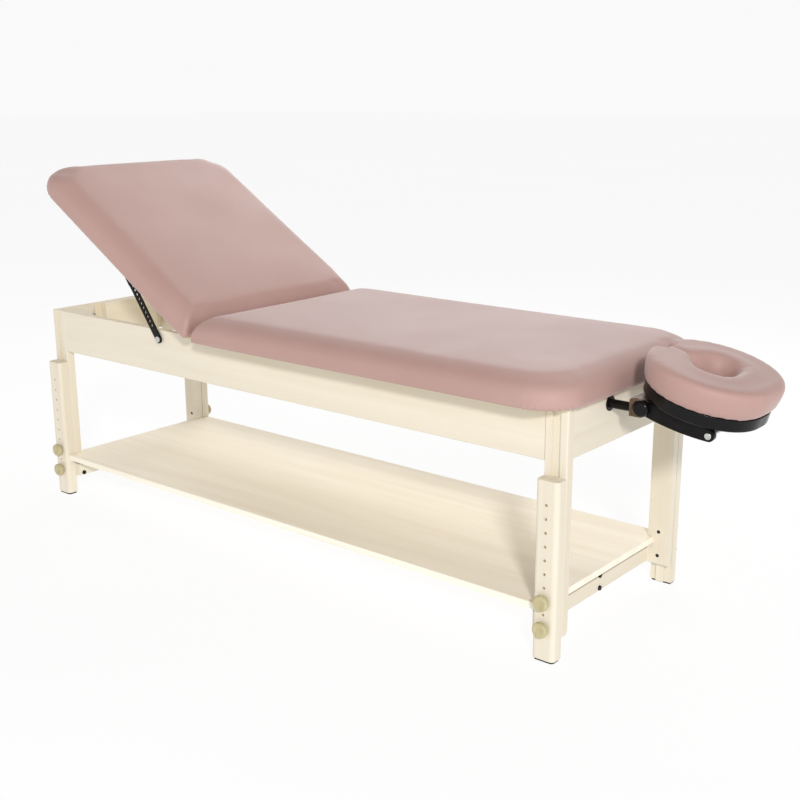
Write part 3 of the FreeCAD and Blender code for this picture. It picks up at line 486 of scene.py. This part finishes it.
def puff(obj, held):
    """Swells a closed cover with air.

    Points for which held is true keep their place, and none moves further than PAD_CAP.
    """
    rest = [vertex.co.copy() for vertex in obj.data.vertices]
    group = obj.vertex_groups.new(name="held")
    group.add([i for i, co in enumerate(rest) if held(co)], 1.0, "REPLACE")
    cloth = obj.modifiers.new("cloth", "CLOTH")
    cloth.settings.quality = CLOTH_QUALITY
    cloth.settings.mass = CLOTH_MASS
    cloth.settings.tension_stiffness = CLOTH_STRETCH
    cloth.settings.compression_stiffness = CLOTH_STRETCH
    cloth.settings.shear_stiffness = CLOTH_SHEAR
    cloth.settings.bending_stiffness = CLOTH_BENDING
    cloth.settings.use_pressure = True
    cloth.settings.uniform_pressure_force = PAD_PRESSURE
    cloth.settings.vertex_group_mass = "held"
    cloth.settings.effector_weights.gravity = 0.0
    cloth.collision_settings.use_collision = False
    cloth.point_cache.frame_start = 1
    cloth.point_cache.frame_end = CLOTH_FRAMES
    for step in range(1, CLOTH_FRAMES + 1):
        scene.frame_set(step)
    view = bpy.context.evaluated_depsgraph_get()
    swollen = obj.evaluated_get(view)
    moves = numpy.array([vertex.co - start for vertex, start in zip(swollen.data.vertices, rest)])
    obj.modifiers.remove(cloth)
    scene.frame_set(1)
    for vertex, start, move in zip(obj.data.vertices, rest, even_moves(obj.data, moves)):
        step = Vector(move)
        if held(start):
            continue
        if step.length > PAD_CAP:
            step = step * (PAD_CAP / step.length)
        vertex.co = start + step
    obj.vertex_groups.clear()


def soften(obj, material):
    """Gives the cover its material and a smooth, finer mesh."""
    dress(obj, material)
    for face in obj.data.polygons:
        face.use_smooth = True
    smoothing(obj, COVER_SMOOTHING)
    level = obj.modifiers.new("subdivision", "SUBSURF")
    level.levels = 1
    level.render_levels = 1
    settle(obj)


def smooth_step(value, start, end):
    """Rises smoothly from 0 at the start to 1 at the end."""
    share = min(1.0, max(0.0, (value - start) / (end - start)))
    return share * share * (3.0 - 2.0 * share)


def lift(obj, rise):
    """Moves each point along its normal by what rise gives for its place, in metres."""
    normals = [vertex.normal.copy() for vertex in obj.data.vertices]
    for vertex, normal in zip(obj.data.vertices, normals):
        vertex.co = vertex.co + normal * rise(vertex.co)


def gathers(length, width, height, end, corner):
    """Small pleats where the cover is drawn under a rounded corner of radius corner at the pad's end."""
    across = abs(width) - (PAD_HALF_WIDTH - corner)
    beyond = length - (end - corner)
    if across <= 0.0 or beyond <= 0.0:
        return 0.0
    low = 1.0 - smooth_step(height, *GATHER_HEIGHTS)
    rim_start, rim_end = GATHER_RIM
    rim = smooth_step(math.hypot(across, beyond), corner * rim_start, corner * rim_end)
    return GATHER_DEPTH * math.cos(GATHERS_PER_TURN * math.atan2(across, beyond)) * low * rim


def shape_flat_pad(obj, local, corner):
    """Fills the cover out, less towards the hinge, and gathers it at the two far corners."""
    end = max(local(vertex.co)[0] for vertex in obj.data.vertices)

    def rise(co):
        length, width, height = local(co)
        ease = smooth_step(length, *HINGE_EASE)
        full = PAD_FULLNESS * ease * smooth_step(height, *PAD_FULL_FROM)
        full += PAD_ROLL * ease * math.sin(math.pi * min(1.0, max(0.0, height / PAD_ROLL_HEIGHT)))
        return full + gathers(length, width, height, end, corner)

    lift(obj, rise)


def shape_seat(obj):
    shape_flat_pad(obj, seat_local, HEAD_CORNER)


def shape_back(obj):
    shape_flat_pad(obj, back_local, BACK_CORNER)


def shape_face(obj):
    """Fills the bowl of the face pad, and creases the cover at its two inner corners."""
    crease_run = CREASE_END - CREASE_START

    def rise(co):
        length, width, height = face_local(co)
        full = FACE_FULLNESS * smooth_step(height, *FACE_FULL_FROM)
        if math.hypot(length, max(0.0, abs(width) - FACE_OVAL)) < BOWL_RADIUS:
            fade = 1.0 - smooth_step(height, *BOWL_FILL_TO)
            full = BOWL_FILL * smooth_step(height, *BOWL_FILL_FROM) * fade
        away = Vector((length, abs(width), height)) - CREASE_START
        share = min(1.0, max(0.0, away.dot(crease_run) / crease_run.length_squared))
        near = (away - crease_run * share).length
        return full - CREASE_DEPTH * math.exp(-(near / CREASE_WIDTH) ** 2)

    lift(obj, rise)


def soft_pad(node, body, local, material, shape):
    """The upholstered piece in place of a CAD pad."""
    obj = closed_copy(node, node + "_cover")

    def held(co):
        return local(co)[2] < HELD_HEIGHT

    def draw_in(co):
        return 0.0 if held(co) else -PAD_SHRINK

    lift(obj, draw_in)
    puff(obj, held)
    soften(obj, material)
    shape(obj)
    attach(obj, body)
    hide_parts(node)


# Small pieces
def hole_liners(name, material):
    """The bare wood inside the row of holes of one leg."""
    low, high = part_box("leg_" + name)
    middle = (low.x + high.x) / 2.0
    work = bmesh.new()
    for k in range(HOLE_COUNT):
        height = HOLE_FIRST + k * HOLE_PITCH
        rings = []
        for y in (low.y + LINER_INSET, high.y - LINER_INSET):
            ring = []
            for step in range(HOLE_SIDES):
                turn = math.tau * step / HOLE_SIDES
                ring.append(work.verts.new((middle + HOLE_RADIUS * math.cos(turn), y,
                                            height + HOLE_RADIUS * math.sin(turn))))
            rings.append(ring)
        for step in range(HOLE_SIDES):
            after = (step + 1) % HOLE_SIDES
            work.faces.new((rings[0][step], rings[1][step], rings[1][after], rings[0][after]))
    mesh = bpy.data.meshes.new("hole_liners_" + name)
    work.to_mesh(mesh)
    work.free()
    for face in mesh.polygons:
        face.use_smooth = True
    obj = bpy.data.objects.new("hole_liners_" + name, mesh)
    scene.collection.objects.link(obj)
    dress(obj, material)
    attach(obj, "leg_" + name)


# Studio
def lamp(name, place, aim, size, power):
    data = bpy.data.lights.new(name, "AREA")
    data.shape = "RECTANGLE"
    data.size, data.size_y = size
    data.energy = power
    obj = bpy.data.objects.new(name, data)
    scene.collection.objects.link(obj)
    obj.location = place
    obj.rotation_euler = (Vector(aim) - Vector(place)).to_track_quat("-Z", "Y").to_euler()


def studio_floor():
    """A pale sheet that glows a little, as a lit studio floor does, so that shadows stay faint."""
    paint = Paint("studio_floor", specular=0.0)
    cloud = paint.noise(0.6, 3.0)
    paint.colour(paint.blend(cloud, (0.3, srgb(97, 97, 97)), (0.7, srgb(101, 101, 101))))
    paint.gloss(cloud, 0.85, 0.95)
    paint.surface.inputs["Emission Color"].default_value = WHITE
    paint.surface.inputs["Emission Strength"].default_value = FLOOR_GLOW
    corners = [(x * FLOOR_HALF, y * FLOOR_HALF, 0.0) for x, y in ((-1, -1), (1, -1), (1, 1), (-1, 1))]
    mesh = bpy.data.meshes.new("floor")
    mesh.from_pydata(corners, [], [(0, 1, 2, 3)])
    floor = bpy.data.objects.new("floor", mesh)
    scene.collection.objects.link(floor)
    dress(floor, paint.material)


def studio_sky():
    """White walls all round and a darker ceiling."""
    world = bpy.data.worlds.new("studio")
    scene.world = world
    world.use_nodes = True
    tree = world.node_tree
    direction = tree.nodes.new("ShaderNodeTexCoord").outputs["Generated"]
    split = tree.nodes.new("ShaderNodeSeparateXYZ")
    tree.links.new(direction, split.inputs["Vector"])
    ramp = tree.nodes.new("ShaderNodeValToRGB")
    tree.links.new(split.outputs["Z"], ramp.inputs["Fac"])
    stops = ((0.0, WALL_LIGHT), (0.25, WALL_LIGHT), (0.7, CEILING_LIGHT))
    ramp.color_ramp.elements.new(0.5)
    for element, (place, level) in zip(ramp.color_ramp.elements, stops):
        element.position = place
        element.color = (level, level, level, 1.0)
    tree.links.new(ramp.outputs["Color"], tree.nodes["Background"].inputs["Color"])
    tree.nodes["Background"].inputs["Strength"].default_value = 1.0


def studio():
    studio_floor()
    studio_sky()
    lamp("key", (5.36, -5.26, 3.91), (0.0, 0.0, 0.4), (0.76, 0.76), 375.0)
    lamp("overhead", (-1.2, 2.4, 2.6), (-0.2, 0.0, 0.6), (3.0, 1.4), 50.0)


scene.view_settings.view_transform = "Standard"
place_camera()
slots = finish_nodes()
soft_pad("seat_pad", "frame", seat_local, slots["cover"], shape_seat)
soft_pad("back_pad", "backrest", back_local, slots["cover"], shape_back)
soft_pad("face_pad", "cradle_head", face_local, slots["cover"], shape_face)
drilled = bare_wood()
for corner in CORNERS:
    hole_liners(corner, drilled)
studio()
